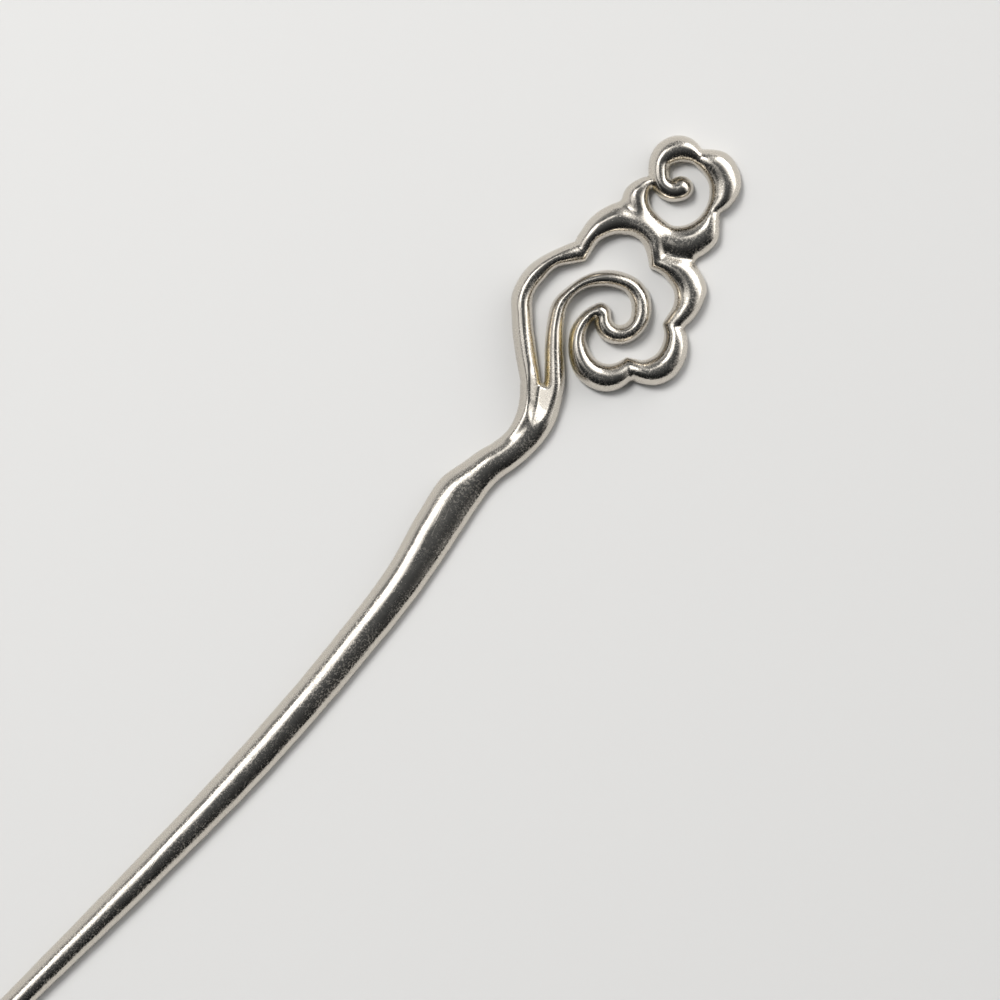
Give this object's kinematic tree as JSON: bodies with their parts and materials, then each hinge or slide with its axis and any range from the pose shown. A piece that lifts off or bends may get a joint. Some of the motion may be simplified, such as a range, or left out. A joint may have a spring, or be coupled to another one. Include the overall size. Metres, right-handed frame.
{
  "type": "hair stick",
  "caption": "Long tapered metal hair stick with a flat back, a narrow neck and an openwork scrolling cloud head; slides through a bun to hold it.",
  "frame": {"origin": "on the plane of the flat back, under the centre of the outline's box", "axes": "+X along the shaft from the tip towards the head, +Z out of the face"},
  "size_m": [0.1748, 0.023, 0.0027],
  "materials": {
    "polished_white_copper": "cast and hand polished"
  },
  "bodies": {
    "root": {"hair_stick": "polished_white_copper"}
  },
  "joints": []
}
